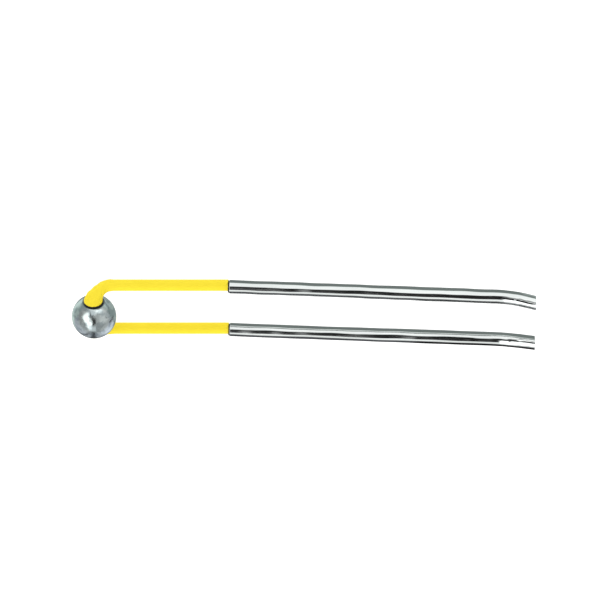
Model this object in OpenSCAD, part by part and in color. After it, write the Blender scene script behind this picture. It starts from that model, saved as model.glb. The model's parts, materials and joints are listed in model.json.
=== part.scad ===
// Roller-ball electrode fork.
// A metal ball turns on a short axle between the eyes of two insulated arms. Each arm is a
// yellow sleeve over a lead wire, and slides into a long steel tube with a slightly bent end.
// X runs along the arms to the cut tube ends, Y runs across them along the axle, and Z points
// to the side that the ball stands out to. The origin is the middle of the underside.

/* [Ball] */
// Diameter of the roller ball
ball_d = 5; // [4.8:0.1:5.2]
// Distance from the ball's centre to the flat at each pole
ball_flat = 2.15; // [2.1:0.05:2.3]
// Height of the ball's centre above the arms
ball_rise = 1.6; // [1.4:0.1:1.8]
// Diameter of the axle
axle_d = 0.5; // [0.4:0.05:0.6]
// Running clearance between the axle and the ball's bore, on the radius
axle_gap = 0.05; // [0.02:0.01:0.1]
// Side play between the ball and each spacer washer
side_gap = 0.03; // [0.02:0.01:0.06]
// Thickness of a spacer washer
washer_t = 0.17; // [0.1:0.01:0.2]
// Diameter of a spacer washer
washer_d = 2.2; // [1.8:0.1:2.3]

/* [Sleeves] */
// Distance between the centre lines of the two arms
arm_spacing = 6.5; // [6.4:0.05:6.8]
// Outer diameter of a sleeve
sleeve_d = 1.3; // [1.2:0.05:1.35]
// Distance from the ball's centre to the end of a sleeve at its tube
sleeve_l = 15.2; // [12:0.1:20]
// Distance from the ball's centre to the corner where a sleeve turns to the ball
corner_x = 1.4; // [1.2:0.1:1.8]
// Diameter of the knuckle between the corner and the ball
knuckle_d = 1.5; // [1.4:0.05:1.6]
// Diameter of the eye that holds the axle
eye_d = 2.2; // [2:0.1:2.4]
// Thickness of the eye at its middle
eye_t = 0.55; // [0.5:0.05:0.7]
// Diameter of the spigot that a sleeve pushes into its tube
spigot_d = 1; // [0.9:0.02:1.02]
// Length of the spigot
spigot_l = 3; // [2:0.5:5]
// Thickness of the seal ring between a sleeve and its tube
seal_t = 0.14; // [0.1:0.02:0.2]

/* [Tubes] */
// Outer diameter of a tube
tube_d = 1.5; // [1.4:0.05:1.5]
// Wall of a tube
tube_wall = 0.2; // [0.15:0.01:0.21]
// Upward slope of the tubes in degrees
tube_slope = 3.1; // [2:0.1:4]
// Distance from the ball's centre to the bend near the tube's end
bend_x = 46.5; // [42:0.1:47]
// Radius of that bend along the centre line
bend_r = 8; // [5:0.5:10]
// Turn of that bend in degrees
bend_turn = 12.3; // [8:0.1:16]
// How far the bend's plane leans inward from upright, in degrees
bend_lean = 17; // [0:1:30]
// Distance from the ball's centre to the cut tube ends
end_x = 49.5; // [49:0.1:60]

/* [Leads] */
// Diameter of a lead wire
wire_d = 0.4; // [0.3:0.02:0.44]
// Gap on the radius where one part is pushed into or over another
push_gap = 0.02; // [0.01:0.005:0.03]
// Length of the bush that closes a tube's cut end
bush_l = 1.2; // [0.8:0.1:1.6]

/* [Hidden] */
$fn = 64;
steel = "silver";
yellow = [0.99, 0.9, 0.22];
dark = [0.2, 0.2, 0.22];
white = [0.93, 0.93, 0.9];
tungsten = [0.55, 0.55, 0.57];

bore_r = tube_d / 2 - tube_wall;
wire_r = wire_d / 2;
kink_run = 4.4; // from the kink in a lead, inside its sleeve, to the mouth of its tube
kink_r = 6; // radius of that kink along the centre line
corner_r = 0.5; // radius of the lead's bend inside the knuckle
swell = 0.01; // how much thicker a bend is than its straight runs, on the radius
lap = 0.05; // how far a straight run reaches into the bend next to it
over = 1; // how far a cutting shape reaches past what it cuts
axle_hold = 0.31; // how far the axle reaches into each eye
wire_hold = 0.27; // from an eye's flat face to the middle of its lead wire's end
knuckle_x = 0.2; // from the axle to the middle of the knuckle
knuckle_gap = 0.02; // between the knuckle and the plane of the eye's flat face
knuckle_share = 0.55; // height of the knuckle as a share of the ball's rise
corner_swell = 0.04; // how much thicker a sleeve is at its corner, on the diameter
seal_swell = 0.06; // how much a seal ring stands proud of its sleeve, on the diameter

// Points of the right arm, measured from the point under the ball's centre in the arms' plane.
arm_y = arm_spacing / 2;
eye_y = ball_flat + side_gap + washer_t;
axle_half = eye_y + axle_hold;
corner = [corner_x, arm_y, 0];
knuckle = [knuckle_x, eye_y + knuckle_gap + knuckle_d / 2, knuckle_share * ball_rise];
wire_end = [0, eye_y + wire_hold, ball_rise];
mouth = [sleeve_l, arm_y, kink_run * sin(tube_slope)];

// The lead's run from the corner to the axle, as a turn away from -X and a lean from upright.
reach = wire_end - corner;
reach_turn = acos(-reach.x / norm(reach));
reach_lean = atan2(-reach.y, reach.z);

// Lengths of the straight runs between the bends.
corner_back = setback(corner_r, reach_turn);
kink_back = setback(kink_r, tube_slope);
bend_back = setback(bend_r, bend_turn);
front_run = sleeve_l - kink_run * cos(tube_slope) - corner_x - kink_back;
tube_run = (bend_x - sleeve_l) / cos(tube_slope) - bend_back;
end_run = end_x - bend_x + over;

// Row position of the measuring point: the fork's box is centred in X and Y and stands on Z = 0.
base = [-(end_x - ball_d / 2) / 2, 0, ball_d / 2 - ball_rise];

// How far a bend of radius r reaches back along each straight run from its corner point.
function setback(r, turn) = r * tan(turn / 2);

// Draws the children for the right arm, or mirrored for the left one.
module arm(side) {
    translate(base)
        mirror([0, side > 0 ? 0 : 1, 0])
            children();
}

// A bend of a round rod of radius r that starts upright at the origin and leans to +X. It is
// a hair thicker than the rod, as a swaged bend is, so that the straight runs end inside it.
module bend_solid(r, radius, turn) {
    big = 2 * (radius + r);
    translate([radius, 0, 0])
        difference() {
            rotate([90, 0, 0])
                rotate_extrude()
                    translate([radius, 0])
                        circle(r = r + swell);
            translate([-big, -big, -2 * big])
                cube(2 * big);
            rotate([0, turn, 0])
                translate([-big, -big, 0])
                    cube(2 * big);
        }
}

// The frame just before the end of that bend, where the children are drawn.
module past_bend(radius, turn) {
    translate([radius, 0, 0])
        rotate([0, turn, 0])
            translate([-radius, 0, -lap])
                children();
}

// The frame d past a tube's mouth, with +Z along the tube and +X to the side the ball is on.
module at_mouth(d = 0) {
    translate(mouth)
        rotate([0, 90 - tube_slope, 0])
            rotate([0, 0, 180])
                translate([0, 0, d])
                    children();
}

// From a frame that is lap into the bend near a tube's end, a round rod to past the cut end.
module bent_end(r) {
    translate([0, 0, -lap])
        rotate([0, 0, bend_lean]) {
            bend_solid(r, bend_r, bend_turn);
            past_bend(bend_r, bend_turn)
                cylinder(h = end_run, r = r);
        }
}

// A round rod along the tube's centre line, from d past the mouth to past the cut end.
module tube_core(d, r) {
    at_mouth(d) {
        cylinder(h = tube_run - d + lap, r = r);
        translate([0, 0, tube_run - d + lap])
            bent_end(r);
    }
}

// A round rod along the front of the arm, from start past the corner to length past the kink.
// The children are drawn in the frame at its end, which is turned as at_mouth is.
module front_core(r, start, length) {
    translate([corner_x + start - lap, arm_y, 0])
        rotate([0, 90, 0])
            rotate([0, 0, 180]) {
                cylinder(h = front_run - start + 2 * lap, r = r);
                translate([0, 0, front_run - start + lap]) {
                    bend_solid(r, kink_r, tube_slope);
                    past_bend(kink_r, tube_slope) {
                        cylinder(h = length + lap, r = r);
                        translate([0, 0, length + lap])
                            children();
                    }
                }
            }
}

// A round rod along the lead's run from the straight front of the arm to the axle.
module reach_core(r) {
    translate([corner_x + corner_back, arm_y, 0])
        rotate([0, -90, 0])
            rotate([0, 0, -reach_lean]) {
                bend_solid(r, corner_r, reach_turn);
                past_bend(corner_r, reach_turn)
                    cylinder(h = norm(reach) - corner_back + lap, r = r);
            }
}

// Everything from d before the cut end outward.
module past_end(d = 0) {
    translate([end_x - d, arm_y - 5, -5])
        cube([5, 10, 20]);
}

// The frame on the axle at distance y from the ball's centre, with +Z pointing outward.
module on_axle(y) {
    translate([0, y, ball_rise])
        rotate([-90, 0, 0])
            children();
}

module roller_ball() {
    color(steel)
        translate(base)
            difference() {
                translate([0, 0, ball_rise])
                    sphere(d = ball_d);
                for (s = [-1, 1])
                    translate([-ball_d / 2, s > 0 ? ball_flat : -ball_flat - 5, ball_rise - ball_d / 2])
                        cube([ball_d, 5, ball_d]);
                on_axle(-ball_d)
                    cylinder(h = 2 * ball_d, r = axle_d / 2 + axle_gap);
            }
}

module axle_pin() {
    color(tungsten)
        translate(base)
            on_axle(-axle_half)
                cylinder(h = 2 * axle_half, d = axle_d);
}

module spacer_washer(side) {
    color(dark)
        arm(side)
            on_axle(ball_flat + side_gap)
                difference() {
                    cylinder(h = washer_t, d = washer_d);
                    translate([0, 0, -over])
                        cylinder(h = washer_t + 2 * over, r = axle_d / 2 + push_gap);
                }
}

// The eye is a shallow dome with its flat side to the ball.
module eye_dome() {
    dome_r = (eye_d * eye_d / 4 + eye_t * eye_t) / (2 * eye_t);
    on_axle(eye_y)
        intersection() {
            translate([0, 0, eye_t - dome_r])
                sphere(r = dome_r, $fn = 48);
            cylinder(h = eye_t + over, d = 2 * eye_d, $fn = 32);
        }
}

// The knuckle is a blend from the sleeve's corner to the eye.
module knuckle_solid() {
    hull() {
        translate(corner)
            sphere(d = sleeve_d + corner_swell, $fn = 32);
        translate(knuckle)
            sphere(d = knuckle_d, $fn = 32);
        eye_dome();
    }
}

// The straight front of a sleeve ends square to its tube, and its spigot follows the tube.
module sleeve_front() {
    difference() {
        translate(corner)
            rotate([0, 90, 0])
                cylinder(h = sleeve_l - corner_x + lap, d = sleeve_d);
        at_mouth(-seal_t)
            translate([-sleeve_d, -sleeve_d, 0])
                cube(2 * sleeve_d);
    }
    at_mouth(-seal_t - lap)
        cylinder(h = spigot_l + seal_t + lap, d = spigot_d);
}

module insulating_sleeve(side) {
    color(yellow)
        arm(side)
            difference() {
                union() {
                    sleeve_front();
                    knuckle_solid();
                }
                front_core(wire_r + push_gap, corner_back, spigot_l + kink_run + over);
                reach_core(wire_r + push_gap);
                on_axle(0)
                    cylinder(h = axle_half + push_gap, r = axle_d / 2 + push_gap);
            }
}

module seal_ring(side) {
    color(dark)
        arm(side)
            at_mouth(-seal_t)
                difference() {
                    cylinder(h = seal_t, d = sleeve_d + seal_swell);
                    translate([0, 0, -over])
                        cylinder(h = seal_t + 2 * over, r = spigot_d / 2 + push_gap / 2);
                }
}

module fork_tube(side) {
    color(steel)
        arm(side)
            difference() {
                tube_core(0, tube_d / 2);
                tube_core(-over, bore_r);
                past_end();
            }
}

module tube_liner(side) {
    color(white)
        arm(side)
            difference() {
                tube_core(spigot_l + push_gap, bore_r - push_gap);
                tube_core(0, wire_r + push_gap);
                past_end(bush_l + push_gap);
            }
}

module end_bush(side) {
    color(dark)
        arm(side)
            difference() {
                tube_core(spigot_l, bore_r - push_gap / 2);
                tube_core(0, wire_r + push_gap / 2);
                past_end();
                translate([end_x - bush_l - 60, arm_y - 5, -5])
                    cube([60, 10, 20]);
            }
}

module lead_wire(side) {
    color(tungsten)
        arm(side)
            difference() {
                union() {
                    front_core(wire_r, corner_back, tube_run + kink_run - kink_back + lap)
                        bent_end(wire_r);
                    reach_core(wire_r);
                }
                on_axle(0)
                    cylinder(h = 2 * axle_half, d = axle_d);
                past_end();
            }
}

roller_ball();
axle_pin();
spacer_washer(1);  // right_spacer_washer
spacer_washer(-1);  // left_spacer_washer
insulating_sleeve(1);  // right_insulating_sleeve
insulating_sleeve(-1);  // left_insulating_sleeve
seal_ring(1);  // right_seal_ring
seal_ring(-1);  // left_seal_ring
fork_tube(1);  // right_fork_tube
fork_tube(-1);  // left_fork_tube
tube_liner(1);  // right_tube_liner
tube_liner(-1);  // left_tube_liner
lead_wire(1);  // right_lead_wire
lead_wire(-1);  // left_lead_wire
end_bush(1);  // right_end_bush
end_bush(-1);  // left_end_bush
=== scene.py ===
"""Looks of the roller-ball electrode fork: a metal ball between two yellow arms in steel tubes.

The ball, the sleeves and the tubes are new meshes in the place of their CAD solids. The axle,
washers, seal rings, leads, liners and bushes stay as CAD made them and get materials.
Lengths are in metres, and MM turns a length in millimetres into them.
"""

import json
import math

import bpy
import numpy as np
from mathutils import Matrix, Vector


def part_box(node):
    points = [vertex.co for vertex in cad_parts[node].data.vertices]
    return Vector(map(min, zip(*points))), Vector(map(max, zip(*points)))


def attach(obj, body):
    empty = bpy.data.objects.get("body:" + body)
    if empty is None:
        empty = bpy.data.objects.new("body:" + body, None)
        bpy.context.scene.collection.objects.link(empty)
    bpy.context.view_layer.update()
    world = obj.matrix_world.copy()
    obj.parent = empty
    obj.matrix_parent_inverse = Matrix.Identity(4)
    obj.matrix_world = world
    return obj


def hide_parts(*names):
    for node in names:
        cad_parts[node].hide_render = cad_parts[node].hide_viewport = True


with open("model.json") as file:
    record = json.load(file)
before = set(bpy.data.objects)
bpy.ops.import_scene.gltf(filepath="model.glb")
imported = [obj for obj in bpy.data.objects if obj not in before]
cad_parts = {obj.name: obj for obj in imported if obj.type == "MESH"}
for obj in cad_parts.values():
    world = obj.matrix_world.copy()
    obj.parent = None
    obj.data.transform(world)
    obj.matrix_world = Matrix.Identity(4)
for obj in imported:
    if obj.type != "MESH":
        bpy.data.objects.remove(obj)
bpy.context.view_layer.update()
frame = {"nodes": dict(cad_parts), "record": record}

MM = 0.001
SIDES = {"right": 1, "left": -1}  # the sign of Y

# ---------------------------------------------------------------- sizes from the frame

ball_low, ball_high = (np.array(corner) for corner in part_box("roller_ball"))
BALL_CENTRE = (ball_low + ball_high) / 2
BALL_R = (ball_high[0] - ball_low[0]) / 2
BALL_FLAT = (ball_high[1] - ball_low[1]) / 2
axle_low, axle_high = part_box("axle_pin")
AXLE_R = (axle_high.x - axle_low.x) / 2
BORE_GAP = 0.05 * MM  # between the axle and the ball, on the radius
RISE = 1.6  # height of the ball's centre above the straight sleeves, in millimetres

# The right tube's end mount gives its place, direction and radius.
END_MOUNT = next(m for m in frame["record"]["mounts"] if m["name"] == "right_tube_end")
TUBE_R = END_MOUNT["dims"]["r_mm"] * MM
END_DIRECTION = np.array(END_MOUNT["axis"]) / np.linalg.norm(END_MOUNT["axis"])
TUBE_END_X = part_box("right_fork_tube")[1].x
TUBE_WALL = 0.2 * MM
TUBE_SLOPE = math.radians(3.1)  # upwards, away from the ball
TUBE_DIRECTION = np.array([math.cos(TUBE_SLOPE), 0, math.sin(TUBE_SLOPE)])
BEND_R = 14 * MM  # a softer bend than the CAD tube's, within 0.04 mm of it

# The right seal ring lies between the sleeve's shoulder and the tube's mouth.
seal_low, seal_high = (np.array(corner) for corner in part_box("right_seal_ring"))
SEAL_T = 0.14 * MM
SHOULDER = (seal_low + seal_high) / 2 - SEAL_T / 2 * TUBE_DIRECTION
MOUTH = SHOULDER + SEAL_T * TUBE_DIRECTION
ARM_Y = MOUTH[1]
ARM_Z = BALL_CENTRE[2] - RISE * MM  # height of the straight sleeves' centre line
EYE_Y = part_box("right_insulating_sleeve")[0].y  # the eye's flat face, towards the ball


# ---------------------------------------------------------------- meshes

def smooth_step(x, start, end):
    """0 before start, 1 after end, and a smooth ramp between."""
    t = np.clip((x - start) / (end - start), 0, 1)
    return t * t * (3 - 2 * t)


def smooth_min(a, b, k):
    """The smaller of a and b, with their corner rounded over a width k."""
    h = np.clip(0.5 + 0.5 * (b - a) / k, 0, 1)
    return b + (a - b) * h - k * h * (1 - h)


def unit(v):
    """v at length 1."""
    return v / np.linalg.norm(v)


def add_mesh(name, points, faces, material):
    """A smooth-shaded mesh object made from points in metres."""
    mesh = bpy.data.meshes.new(name)
    mesh.from_pydata(np.asarray(points).tolist(), [], np.asarray(faces).tolist())
    mesh.validate()
    mesh.shade_smooth()
    mesh.materials.append(material)
    piece = bpy.data.objects.new(name, mesh)
    bpy.context.scene.collection.objects.link(piece)
    return piece


def ring_faces(rings, around, closed):
    """Quads between rings of points, joined last ring to first if closed."""
    ring = np.arange(rings if closed else rings - 1)[:, None]
    point = np.arange(around)[None, :]
    after = (ring + 1) % rings
    beside = (point + 1) % around
    corners = (
        ring * around + point,
        ring * around + beside,
        after * around + beside,
        after * around + point,
    )
    return np.stack([np.broadcast_to(c, (len(ring), around)) for c in corners], -1).reshape(-1, 4)


def ripple(along, angle, wavelengths, seed):
    """A gentle unevenness of a drawn or ground surface, between about -1 and 1.

    Each wavelength has one, two or three waves round the piece as well.
    """
    rng = np.random.default_rng(seed)
    total = 0
    for order, wavelength in enumerate(wavelengths):
        phase = rng.uniform(0, 2 * math.pi, 2)
        total = total + np.sin(2 * math.pi * along / wavelength + phase[0]) * np.cos(
            (1 + order % 3) * angle + phase[1]
        )
    return total / math.sqrt(len(wavelengths))


def make_ball(material):
    """A turned ball with a rounded flat and a bore at each pole, lathed about Y."""
    around, rings = 192, 150
    edge_r, bump_height = 0.06 * MM, 0.003 * MM
    bore_r = AXLE_R + BORE_GAP
    pole = math.atan2(bore_r, BALL_FLAT)
    from_pole = np.linspace(pole, math.pi - pole, rings)[:, None]
    turn = np.linspace(0, 2 * math.pi, around, endpoint=False)[None, :]
    # The distance to the flat's plane, which is kept finite at the equator.
    flat = BALL_FLAT / np.maximum(np.abs(np.cos(from_pole)), 1e-3)
    reach = smooth_min(np.full_like(flat, BALL_R), flat, edge_r)
    # The flats are true, and the sphere is slightly uneven.
    on_sphere = smooth_step(np.sin(from_pole), 0.52, 0.62)
    bumps = ripple(from_pole * BALL_R, turn, [1.7 * MM, 1.3 * MM, 2.3 * MM, 1.1 * MM], 5)
    reach = reach + on_sphere * bump_height * (bumps - 1)
    radius = reach * np.sin(from_pole)
    points = np.stack(
        [radius * np.cos(turn), reach * np.cos(from_pole) + 0 * turn, radius * np.sin(turn)], -1
    )
    piece = add_mesh(
        "turned_ball",
        points.reshape(-1, 3) + BALL_CENTRE,
        ring_faces(rings, around, closed=True),
        material,
    )
    piece.visible_diffuse = False  # the ball doesn't shade the sleeves
    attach(piece, "roller")
    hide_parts("roller_ball")


def tube_line(stations):
    """The right tube's centre points and directions at distances from its mouth, and its bend's start."""
    mount = np.array(END_MOUNT["pos_m"])
    corner = mount - END_DIRECTION * (mount[1] - ARM_Y) / END_DIRECTION[1]
    turn = math.acos(TUBE_DIRECTION @ END_DIRECTION)
    back = BEND_R * math.tan(turn / 2)
    bend_start = np.linalg.norm(corner - MOUTH) - back
    inward = unit(END_DIRECTION - (END_DIRECTION @ TUBE_DIRECTION) * TUBE_DIRECTION)
    angle = np.clip((stations - bend_start) / BEND_R, 0, turn)[:, None]
    before = np.minimum(stations, bend_start)[:, None] * TUBE_DIRECTION
    in_bend = BEND_R * (np.sin(angle) * TUBE_DIRECTION + (1 - np.cos(angle)) * inward)
    after = np.maximum(stations - bend_start - turn * BEND_R, 0)[:, None] * END_DIRECTION
    direction = np.cos(angle) * TUBE_DIRECTION + np.sin(angle) * inward
    return MOUTH + before + in_bend + after, direction, bend_start


def tube_outline(length, round_r):
    """The outline of a tube's wall as (distance along the tube, radius), once round from its bore."""
    bore_r = TUBE_R - TUBE_WALL
    quarter = np.linspace(0, math.pi / 2, 8)
    sine, cosine = round_r * np.sin(quarter), round_r * np.cos(quarter)
    near_rim = np.array([1.0, 1.3, 2.0]) * round_r
    middle = np.linspace(3 * round_r, length - 3 * round_r, 240)
    along = np.concatenate([near_rim, middle, length - near_rim[::-1]])
    return np.concatenate([
        np.stack([round_r - sine, bore_r + round_r - cosine], 1),
        np.stack([round_r - cosine, TUBE_R - round_r + sine], 1),
        np.stack([along, np.full_like(along, TUBE_R)], 1)[1:-1],
        np.stack([length - round_r + sine, TUBE_R - round_r + cosine], 1),
        np.stack([length - round_r + cosine, bore_r + round_r - sine], 1),
        np.stack([along, np.full_like(along, bore_r)], 1)[-2:0:-3],
    ])


def make_tube(side, material):
    """A drawn steel tube with a rounded mouth, a soft bend and an end cut square to X."""
    around, round_r = 96, 0.04 * MM
    slant = 0.2 * MM  # the bent end is this much longer than its run in X
    bend_start = tube_line(np.zeros(1))[2]
    length = bend_start + (TUBE_END_X - MOUTH[0] - bend_start * TUBE_DIRECTION[0]) + slant
    outline = tube_outline(length, round_r)
    along, radius = outline[:, 0], outline[:, 1]
    centre, direction, _ = tube_line(along)
    across = np.array([0, 1.0, 0]) - direction * direction[:, 1:2]
    across /= np.linalg.norm(across, axis=1, keepdims=True)
    up = np.cross(direction, across)
    turn = np.linspace(0, 2 * math.pi, around, endpoint=False)[None, :]

    # The outside isn't quite true: it has slow waves along the tube and fast ones near the end,
    # and its far half is a little thicker and bows inwards. The heights are in millimetres.
    slow_height, medium_height, fast_height = 0.012, 0.01, 0.004
    thicker, thicker_far_half, bow = 0.008, 0.03, 0.035
    seed = 11 if side == "right" else 23
    slow = ripple(along[:, None], turn, [23 * MM, 9 * MM, 14 * MM, 6.1 * MM], seed)
    medium = ripple(along[:, None], turn, [4.9 * MM, 3.7 * MM, 6.7 * MM, 3.1 * MM], seed + 1)
    fast = ripple(along[:, None], turn, [1.3 * MM, 1.0 * MM, 1.7 * MM], seed + 2)
    near_end = smooth_step(along, length - 8 * MM, length - 3 * MM)[:, None]
    far_half = smooth_step(along, 12 * MM, 22 * MM)[:, None]
    outer = smooth_step(radius, TUBE_R - round_r, TUBE_R)[:, None]
    waves = slow_height * slow + medium_height * medium + fast_height * near_end * fast
    r = radius[:, None] + outer * MM * (waves + thicker_far_half * far_half + thicker)
    centre = centre - bow * MM * far_half * across
    points = (
        centre[:, None, :]
        + (r * np.cos(turn))[..., None] * across[:, None, :]
        + (r * np.sin(turn))[..., None] * up[:, None, :]
    )
    # The last stretch is sheared until its end lies in the plane of the cut.
    end_centre = tube_line(np.array([length]))[0][0]
    share = np.clip((along - bend_start) / (length - bend_start), 0, 1) ** 2
    from_centre = points - centre[:, None, :]
    to_cut = (TUBE_END_X - end_centre[0] - from_centre[..., 0]) / END_DIRECTION[0]
    points = points + (share[:, None] * to_cut)[..., None] * END_DIRECTION
    points = points.reshape(-1, 3) * np.array([1, SIDES[side], 1])
    faces = ring_faces(len(along), around, closed=True)
    piece = add_mesh(f"{side}_drawn_tube", points, faces if side == "right" else faces[:, ::-1], material)
    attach(piece, "fork")
    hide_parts(f"{side}_fork_tube")


# ---------------------------------------------------------------- sleeves

# A sleeve's surface is where sleeve_distance is 0. Everything in this section is in millimetres
# from the point under the ball's centre in the plane of the arms.
SLEEVE_R = 0.645
# Three chains of rods fill the curved stretch from the straight arm to the eye. Their stations
# are (x, share, radius): share is how far a station has gone from the arm (0) to the axle (1).
OUTER_CHAIN = [
    (1.59, 0.02, 0.63), (1.02, 0.14, 0.62), (0.415, 0.386, 0.59), (-0.26, 0.72, 0.51), (-0.6, 0.93, 0.4),
]
MIDDLE_CHAIN = [(1.4, 0.05, 0.6), (0.95, 0.26, 0.58), (0.4, 0.6, 0.5), (0.05, 0.85, 0.45)]
INNER_CHAIN = [
    (1.84, 0, 0.635), (1.25, 0.1, 0.6), (0.84, 0.35, 0.55), (0.6, 0.74, 0.46), (0.5, 0.93, 0.42),
]
INWARD = 0.65  # how far a chain moves in towards the ball on its way
# The eye is a shallow dome on a flat face: its middle's X from the axle, its radius and thickness.
EYE_X, EYE_R, EYE_T = -0.05, 1.1, 0.55
AXLE_HOLE_R, AXLE_HOLE_DEPTH = 0.27, 0.35
LEAD_HOLE_R, LEAD_CORNERS = 0.22, (1.4, 10.7)  # the corners are where the lead turns, in X
SPIGOT_R, SPIGOT_L = 0.5, 2.4
# Widths over which shapes blend, and roundings of edges.
ROD_BLEND, CHAIN_BLEND, EYE_BLEND = 0.1, 0.14, 0.22
SHOULDER_ROUND, FACE_ROUND, HOLE_ROUND = 0.08, 0.05, 0.02


def local(point):
    """A point of the row frame, in millimetres from the point under the ball's centre."""
    return (np.array(point) - [BALL_CENTRE[0], 0, ARM_Z]) / MM


def rod(p, start, end, r0, r1):
    """Distance from a rod with round ends whose radius goes from r0 to r1."""
    start, end = np.array(start), np.array(end)
    run = end - start
    t = np.clip((p - start) @ run / (run @ run), 0, 1)
    return np.linalg.norm(p - start - t[..., None] * run, axis=-1) - (r0 + (r1 - r0) * t)


def chain(p, stations):
    """Distance from a chain of rods through (x, share, radius) stations."""
    points = [((x, ARM_Y / MM - INWARD * share, RISE * share), r) for x, share, r in stations]
    rods = [rod(p, a, b, ra, rb) for (a, ra), (b, rb) in zip(points, points[1:])]
    total = rods[0]
    for other in rods[1:]:
        total = smooth_min(total, other, ROD_BLEND)
    return total


def sleeve_distance(p):
    """Distance from the right sleeve's surface, negative inside."""
    arm_y, eye_y = ARM_Y / MM, EYE_Y / MM
    shoulder, mouth = local(SHOULDER), local(MOUTH)
    past_shoulder = (p - shoulder) @ TUBE_DIRECTION
    past_mouth = mouth[0] + 2  # the shoulder cuts off what is too long
    arm = rod(p, (INNER_CHAIN[0][0], arm_y, 0), (past_mouth, arm_y, 0), SLEEVE_R, SLEEVE_R)
    body = -smooth_min(-arm, -past_shoulder, SHOULDER_ROUND)
    for stations in (INNER_CHAIN, MIDDLE_CHAIN, OUTER_CHAIN):
        body = smooth_min(body, chain(p, stations), CHAIN_BLEND)

    axle = np.array([0, 0, RISE])
    dome_r = (EYE_R * EYE_R + EYE_T * EYE_T) / (2 * EYE_T)
    dome_centre = axle + [EYE_X, eye_y + EYE_T - dome_r, 0]
    dome = np.linalg.norm(p - dome_centre, axis=-1) - dome_r
    body = smooth_min(body, dome, EYE_BLEND)
    body = -smooth_min(-body, p[..., 1] - eye_y, FACE_ROUND)

    spigot = rod(
        p, mouth - 0.1 * TUBE_DIRECTION, mouth + SPIGOT_L * TUBE_DIRECTION, SPIGOT_R, SPIGOT_R
    )
    body = smooth_min(body, spigot, HOLE_ROUND)

    # The axle's hole stops short of the outside. The lead's hole runs from it through the spigot.
    hole_end = eye_y + AXLE_HOLE_DEPTH - AXLE_HOLE_R
    hole = rod(p, axle, axle + [0, hole_end, 0], AXLE_HOLE_R, AXLE_HOLE_R)
    past_spigot = mouth + 5 * TUBE_DIRECTION
    lead = [axle + [0, eye_y + AXLE_HOLE_R, 0], *((x, arm_y, 0) for x in LEAD_CORNERS), past_spigot]
    for start, end in zip(lead, lead[1:]):
        hole = np.minimum(hole, rod(p, start, end, LEAD_HOLE_R, LEAD_HOLE_R))
    return -smooth_min(-body, hole, HOLE_ROUND)


def surface_nets(field, low, step):
    """Quads on the zero level of a grid of distances, one point in each cell that it crosses."""
    cells = tuple(n - 1 for n in field.shape)
    total, count = np.zeros(cells + (3,)), np.zeros(cells)
    for axis in range(3):
        for a in (0, 1):
            for b in (0, 1):
                near = [a, b]
                near.insert(axis, 0)
                far = list(near)
                far[axis] = 1
                f0 = field[tuple(slice(o, o + n) for o, n in zip(near, cells))]
                f1 = field[tuple(slice(o, o + n) for o, n in zip(far, cells))]
                crossed = (f0 < 0) != (f1 < 0)
                share = np.where(crossed, f0 / np.where(crossed, f0 - f1, 1), 0)
                count += crossed
                for k in range(3):
                    total[..., k] += crossed * (share if k == axis else near[k])
    used = count > 0
    index = -np.ones(cells, int)
    index[used] = np.arange(used.sum())
    points = (np.argwhere(used) + total[used] / count[used][:, None]) * step + low
    faces = []
    inside = field < 0
    size = field.shape
    for axis in range(3):
        first, second = [k for k in range(3) if k != axis]
        here = tuple(slice(0, n - 1) if k == axis else slice(1, n - 1) for k, n in enumerate(size))
        there = tuple(slice(1, n) if k == axis else slice(1, n - 1) for k, n in enumerate(size))
        at = np.argwhere(inside[here] != inside[there])
        at[:, first] += 1
        at[:, second] += 1
        leaving = inside[tuple(at.T)]
        corner = []
        for da, db in ((1, 1), (0, 1), (0, 0), (1, 0)):
            cell = at.copy()
            cell[:, first] -= da
            cell[:, second] -= db
            corner.append(index[tuple(cell.T)])
        quads = np.stack(corner, 1)
        # The quads that face inwards are turned over, so that all of them face outwards.
        kept = leaving if axis != 1 else ~leaving
        quads[~kept] = quads[~kept][:, ::-1]
        faces.append(quads)
    return points, np.concatenate(faces)


def settle(points, distance, rounds=3, reach=0.01, longest_step=0.03, least_slope=0.3):
    """Moves points onto the surface where distance is 0."""
    for _ in range(rounds):
        value = distance(points)
        slope = np.stack(
            [distance(points + reach * axis) - distance(points - reach * axis) for axis in np.eye(3)], 1
        ) / (2 * reach)
        step = value / np.maximum((slope**2).sum(1), least_slope)
        points = points - np.clip(step, -longest_step, longest_step)[:, None] * slope
    return points


def make_sleeves(material):
    """The yellow sleeves: one surface, and its mirror image for the left arm."""
    # A grid that just holds the right sleeve, with finer cells across the arm than along it.
    low, high = np.array([-1.3, 2.2, -0.9]), np.array([18.2, 4.1, 3.0])
    step = np.array([0.08, 0.05, 0.05])
    axes = [np.arange(a, b, s) for a, b, s in zip(low, high, step)]
    grid = np.stack(np.meshgrid(*axes, indexing="ij"), -1)
    points, faces = surface_nets(sleeve_distance(grid), low, step)
    points = settle(points, sleeve_distance) * MM + [BALL_CENTRE[0], 0, ARM_Z]
    for side, sign in SIDES.items():
        piece = add_mesh(
            f"{side}_moulded_sleeve",
            points * [1, sign, 1],
            faces if sign > 0 else faces[:, ::-1],
            material,
        )
        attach(piece, "fork")
        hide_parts(f"{side}_insulating_sleeve")
        piece.visible_glossy = False  # the metal mirrors the studio, not the sleeves


# ---------------------------------------------------------------- materials

def link(tree, source, target):
    """Links a socket to an input, or sets the input to a plain value."""
    if isinstance(source, bpy.types.NodeSocket):
        tree.links.new(source, target)
    else:
        target.default_value = source


def calculate(tree, operation, *values):
    """The output of a Math node."""
    node = tree.nodes.new("ShaderNodeMath")
    node.operation = operation
    for value, socket in zip(values, node.inputs):
        link(tree, value, socket)
    return node.outputs[0]


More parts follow.
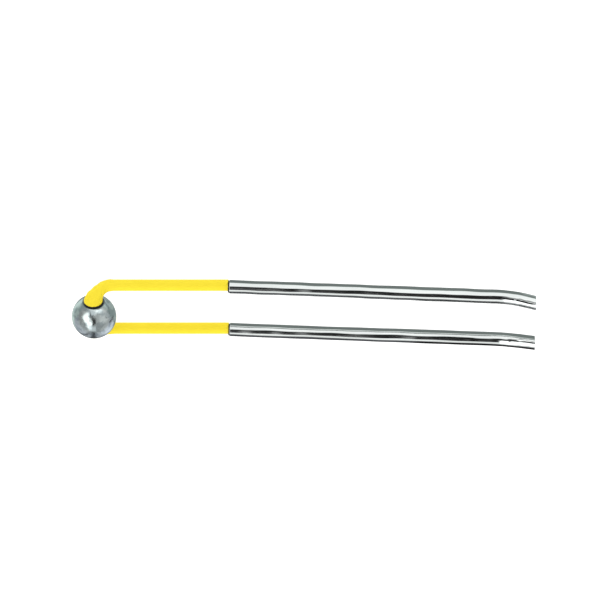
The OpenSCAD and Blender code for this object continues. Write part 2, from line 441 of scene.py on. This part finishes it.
def ramp(tree, value, start, end, low=0.0, high=1.0):
    """value from start to end, turned smoothly into a number from low to high."""
    node = tree.nodes.new("ShaderNodeMapRange")
    node.interpolation_type = "SMOOTHSTEP"
    for item, socket in zip((value, start, end, low, high), node.inputs):
        link(tree, item, socket)
    return node.outputs[0]


def noise(tree, place, scale, detail, stretch):
    """Noise in the piece's own coordinates; scale is in features per metre."""
    mapping = tree.nodes.new("ShaderNodeMapping")
    mapping.inputs["Scale"].default_value = stretch
    tree.links.new(place, mapping.inputs["Vector"])
    node = tree.nodes.new("ShaderNodeTexNoise")
    node.inputs["Scale"].default_value = scale
    node.inputs["Detail"].default_value = detail
    tree.links.new(mapping.outputs[0], node.inputs["Vector"])
    return node.outputs["Fac"]


def mix_colour(tree, factor, first, second):
    """The first colour where factor is 0 and the second where it is 1."""
    node = tree.nodes.new("ShaderNodeMix")
    node.data_type = "RGBA"
    link(tree, factor, node.inputs["Factor"])
    sockets = [s for s in node.inputs if s.type == "RGBA"]
    for socket, colour in zip(sockets, (first, second)):
        link(tree, (*colour, 1) if isinstance(colour, tuple) else colour, socket)
    return [s for s in node.outputs if s.type == "RGBA"][0]


def surface(name, first, second, blotch, rough, bump, metallic=0.0, specular=0.5, stretch=(1, 1, 1)):
    """A material that varies between two colours and two roughnesses.

    blotch is (features per metre, lower and upper noise level between which the colours change),
    rough is (lowest, highest, features per metre), and bump is (height in metres, features per metre).
    """
    material = bpy.data.materials.new(name)
    material.use_nodes = True
    tree = material.node_tree
    blotch_detail, grain_detail, bump_detail = 4, 3, 0.5
    grain_low, grain_high = 0.35, 0.65
    shader = tree.nodes["Principled BSDF"]
    shader.inputs["Metallic"].default_value = metallic
    shader.inputs["Specular IOR Level"].default_value = specular
    place = tree.nodes.new("ShaderNodeTexCoord").outputs["Object"]
    blotches = ramp(tree, noise(tree, place, blotch[0], blotch_detail, stretch), blotch[1], blotch[2])
    link(tree, mix_colour(tree, blotches, first, second), shader.inputs["Base Color"])
    grain = noise(tree, place, rough[2], grain_detail, stretch)
    roughness = ramp(tree, grain, grain_low, grain_high, rough[0], rough[1])
    link(tree, roughness, shader.inputs["Roughness"])
    height = tree.nodes.new("ShaderNodeBump")
    height.inputs["Distance"].default_value = bump[0]
    link(tree, noise(tree, place, bump[1], bump_detail, stretch), height.inputs["Height"])
    link(tree, height.outputs[0], shader.inputs["Normal"])
    return material


ball_steel = surface(
    "ball_steel", (0.68, 0.74, 0.73), (0.46, 0.52, 0.53),
    blotch=(1100, 0.42, 0.58), rough=(0.12, 0.22, 2500), bump=(0.008 * MM, 2600), metallic=1.0,
)
tube_steel = surface(
    "tube_steel", (0.86, 0.88, 0.87), (0.78, 0.80, 0.79),
    blotch=(500, 0.4, 0.6), rough=(0.06, 0.12, 1500), bump=(0.03 * MM, 1100), metallic=1.0,
    stretch=(0.2, 1, 1),
)
sleeve_yellow = surface(
    "sleeve_yellow", (0.90, 0.715, 0.037), (0.88, 0.695, 0.033),
    blotch=(400, 0.35, 0.65), rough=(0.45, 0.55, 1200), bump=(0.003 * MM, 1500), specular=0.12,
)
# Near-black for the spacer washers and seal rings: dark parts and painted shade at once. They stand for
# the shaded gap between each eye and the ball, and for the shaded cut edge at each tube's mouth.
dark_part_and_gap_shade = surface(
    "dark_part_and_gap_shade", (0.012, 0.012, 0.013), (0.02, 0.02, 0.02),
    blotch=(1500, 0.4, 0.6), rough=(0.5, 0.65, 2500), bump=(0.003 * MM, 4000), specular=0.2,
)
dark_plastic = surface(
    "dark_plastic", (0.025, 0.025, 0.028), (0.04, 0.04, 0.042),
    blotch=(1500, 0.4, 0.6), rough=(0.45, 0.6, 2500), bump=(0.003 * MM, 4000), specular=0.3,
)
liner_white = surface(
    "liner_white", (0.82, 0.82, 0.79), (0.76, 0.76, 0.73),
    blotch=(800, 0.4, 0.6), rough=(0.35, 0.45, 1500), bump=(0.002 * MM, 3000),
)
wire_metal = surface(
    "wire_metal", (0.45, 0.45, 0.46), (0.38, 0.38, 0.39),
    blotch=(1500, 0.4, 0.6), rough=(0.28, 0.4, 2500), bump=(0.003 * MM, 4000), metallic=1.0,
)
CAD_MATERIALS = {
    # The washers and seal rings carry painted shade of the gaps round them.
    "spacer_washer": dark_part_and_gap_shade,
    "seal_ring": dark_part_and_gap_shade,
    "end_bush": dark_plastic,
    "tube_liner": liner_white,
    "lead_wire": wire_metal,
    "axle_pin": wire_metal,
}


def dress_cad_nodes():
    """Gives the CAD nodes that stay their materials."""
    for name, piece in frame["nodes"].items():
        for ending, material in CAD_MATERIALS.items():
            if name.endswith(ending):
                for slot in piece.material_slots:
                    slot.link = "OBJECT"
                    slot.material = material


# ---------------------------------------------------------------- studio

FLOOR_R = 1.6


def glowing(name, strength, diffuse):
    """A grey surface that is lit evenly from within and reflects a share of other light.

    The light from within keeps the shadows on the floor faint.
    """
    material = bpy.data.materials.new(name)
    material.use_nodes = True
    shader = material.node_tree.nodes["Principled BSDF"]
    shader.inputs["Base Color"].default_value = (diffuse, diffuse, diffuse, 1)
    shader.inputs["Roughness"].default_value = 0.9
    shader.inputs["Specular IOR Level"].default_value = 0.0
    shader.inputs["Emission Color"].default_value = (1, 1, 1, 1)
    shader.inputs["Emission Strength"].default_value = strength
    return material


def make_floor():
    """A round pale floor just under the ball's lowest point."""
    around, gap = 96, 0.02 * MM
    turn = np.linspace(0, 2 * math.pi, around, endpoint=False)
    rim = np.stack([FLOOR_R * np.cos(turn), FLOOR_R * np.sin(turn), 0 * turn - gap], 1)
    floor = add_mesh("floor", rim, [list(range(around))], glowing("floor_pale", 0.93, 0.35))
    floor.visible_glossy = False


def make_backdrop():
    """A pale dome that only the camera sees."""
    around, rings = 96, 24
    turn = np.linspace(0, 2 * math.pi, around, endpoint=False)[None, :]
    lift = np.linspace(0, math.pi / 2 - 0.01, rings)[:, None]
    points = FLOOR_R * np.stack(
        [np.cos(lift) * np.cos(turn), np.cos(lift) * np.sin(turn), np.sin(lift) + 0 * turn], -1
    )
    dome = add_mesh(
        "backdrop", points.reshape(-1, 3), ring_faces(rings, around, closed=False),
        glowing("backdrop_pale", 1.0, 0.0),
    )
    dome.visible_diffuse = False
    dome.visible_glossy = False
    dome.visible_transmission = False
    dome.visible_shadow = False


# Small dark cards near the bent ends of the tubes, as low and high corners in millimetres from
# the point between the two tube ends: two lie above the tubes and one stands beside them.
CARDS = [
    ((-12, 3.6, 13.4), (-7.9, 15, 13.4)),
    ((-7.9, 3.6, 13.4), (-5.5, 11, 13.4)),
    ((-14, -15, -20), (1, -15, 8)),
]


def make_cards():
    """The dark cards, which the camera sees only as dark lines mirrored in the metal."""
    middle = np.array([TUBE_END_X, 0, END_MOUNT["pos_m"][2]])
    material = glowing("card_dark", 0.02, 0.0)
    for number, (low, high) in enumerate(CARDS):
        corners = np.array([low, (high[0], *low[1:]), high, (low[0], *high[1:])]) * MM + middle
        card = add_mesh(f"dark_card_{number + 1}", corners, [[0, 1, 2, 3]], material)
        card.visible_camera = False
        card.visible_diffuse = False
        card.visible_shadow = False


def between(tree, value, start, end, soft):
    """1 from start to end, falling to 0 over soft at each side."""
    rise = ramp(tree, value, start - soft, start + soft)
    fall = ramp(tree, value, end - soft, end + soft, 1.0, 0.0)
    return calculate(tree, "MULTIPLY", rise, fall)


# Softboxes and dark flags, laid over one another in this order. Each one has a brightness, the
# sides that it lies between with their softness, and bands of (lean, from turn, to turn,
# softness), where lean is the turn by which the band shifts for each unit of side. "add"
# brightens what is there and "set" replaces it. Turns are in degrees, from TURN_SEAM to a full
# turn above it, and a band that starts or ends past the seam runs up to it.
TURN_SEAM = -150.0
ROOM_LIGHT = 0.47  # the brightness wherever there is no window
WINDOWS = [
    # What only the ball sees, to the left and right of the tubes' view.
    ("add", 0.38, (-0.8, -0.3, 0.12), [(0, -155, -60, 20)]),
    ("add", 0.5, (0.3, 0.8, 0.12), [(0, 150, 215, 20)]),
    ("add", 0.12, (-0.8, -0.35, 0.1), [(0, 125, 215, 15)]),
    ("add", 0.22, (0.5, 1.1, 0.12), [(0, -5, 100, 20)]),
    ("add", 0.3, (0.4, 0.8, 0.1), [(0, -75, -30, 15)]),
    ("add", -0.15, (-1.1, -0.84, 0.05), [(0, 0, 110, 25)]),
    # A streak on the ball, just below the near eye's rim.
    ("add", 1.1, (-0.78, 0.65, 0.15), [(20, 16, 37, 8)]),
    # What the straight tubes see, in the order of turn, and a dim patch for the bent ends.
    ("set", 0.21, (-0.34, 0.15, 0.04), [(0, -170, -20, 6)]),
    ("set", 1.08, (-0.34, 0.15, 0.04), [(0, -20, 42, 6)]),
    ("set", 0.01, (-0.14, -0.01, 0.04), [(0, 43, 103, 4)]),
    ("set", 0.05, (-0.06, 0.19, 0.04), [(0, 58, 93, 5)]),
    ("set", 1.0, (-0.34, 0.15, 0.04), [(0, 102, 134, 4)]),
    ("set", 0.09, (-0.13, 0.05, 0.04), [(0, 137, 260, 8)]),
    ("set", 0.18, (-0.39, -0.28, 0.03), [(0, 145, 260, 8)]),
    # A flag and a softbox that lean across each other, where the tubes bend. The softbox is also
    # the bright leaf on the ball.
    ("set", 0.25, (-0.36, -0.12, 0.03), [(-185, 82, 106, 6)]),
    ("set", 1.8, (-0.85, -0.16, 0.03), [(-118, 98, 170, 8), (0, 46, 124, 10)]),
    ("set", 0.1, (-0.365, -0.295, 0.02), [(0, 62, 81, 4)]),
]


def make_world():
    """The studio round the object, as brightness by direction.

    turn is the angle about X in degrees: 0 is +Y, 90 is straight up. side is the X part of the
    direction. Seen from the camera, the straight tubes mirror only directions with side near 0.
    """
    world = bpy.data.worlds.new("studio")
    bpy.context.scene.world = world
    world.use_nodes = True
    tree = world.node_tree
    split = tree.nodes.new("ShaderNodeSeparateXYZ")
    tree.links.new(tree.nodes.new("ShaderNodeTexCoord").outputs["Generated"], split.inputs[0])
    side = split.outputs["X"]
    turn = calculate(tree, "ARCTAN2", split.outputs["Z"], split.outputs["Y"])
    turn = calculate(tree, "MULTIPLY", turn, 180 / math.pi)
    turn = calculate(tree, "WRAP", turn, TURN_SEAM + 360, TURN_SEAM)

    light = ROOM_LIGHT
    for how, brightness, sides, bands in WINDOWS:
        share = between(tree, side, *sides)
        for lean, *turns in bands:
            leaning = calculate(tree, "MULTIPLY_ADD", side, float(lean), turn) if lean else turn
            share = calculate(tree, "MULTIPLY", share, between(tree, leaning, *turns))
        if how == "set":
            brightness = calculate(tree, "SUBTRACT", brightness, light)
        light = calculate(tree, "MULTIPLY_ADD", share, brightness, light)

    # A little green from below, neutral from above and a little blue from the -Y side.
    background = tree.nodes["Background"]
    colour = mix_colour(tree, ramp(tree, turn, -30, -10), (0.87, 1.0, 0.96), (0.98, 1.0, 1.0))
    colour = mix_colour(tree, ramp(tree, turn, 135, 160), colour, (0.94, 0.98, 1.07))
    link(tree, colour, background.inputs["Color"])
    link(tree, light, background.inputs["Strength"])


def make_lamp(name, place, size, power):
    """A big soft lamp that lights the matt surfaces and isn't mirrored in the metal.

    It is at a place, has a size in metres and a power in watts, and faces the origin.
    """
    data = bpy.data.lights.new(name, "AREA")
    data.size = size
    data.energy = power
    lamp = bpy.data.objects.new(name, data)
    lamp.location = place
    lamp.rotation_euler = (-Vector(place)).to_track_quat("-Z", "Y").to_euler()
    lamp.visible_glossy = False
    lamp.visible_camera = False
    bpy.context.scene.collection.objects.link(lamp)


def make_camera():
    """A long lens that looks down at the arms from the +Y side, 42 degrees from straight down."""
    tilt, distance = math.radians(42), 748 * MM
    aim_right, aim_up = 23.104 * MM, 1.829 * MM  # from the ball to the picture's middle
    towards = Vector((0, math.sin(tilt), math.cos(tilt)))
    up = Vector((0, math.cos(tilt), -math.sin(tilt)))
    right = Vector((1, 0, 0))
    target = Vector(BALL_CENTRE) + aim_right * right + aim_up * up
    data = bpy.data.cameras.new("camera")
    data.lens = 400
    data.sensor_width = 36
    data.clip_start = 0.01
    data.clip_end = 5
    camera = bpy.data.objects.new("camera", data)
    camera.matrix_world = Matrix.Translation(target + distance * towards) @ Matrix(
        (right, up, towards)
    ).transposed().to_4x4()
    bpy.context.scene.collection.objects.link(camera)
    bpy.context.scene.camera = camera


make_ball(ball_steel)
make_sleeves(sleeve_yellow)
for side in SIDES:
    make_tube(side, tube_steel)
dress_cad_nodes()
make_floor()
make_backdrop()
make_cards()
make_world()
make_lamp("lamp_above", (0.0, 0.15, 0.64), 0.9, 1.45)
make_lamp("lamp_behind", (0.1, -0.5, 0.4), 0.5, 2.2)
make_camera()
bpy.context.scene.view_settings.view_transform = "Standard"
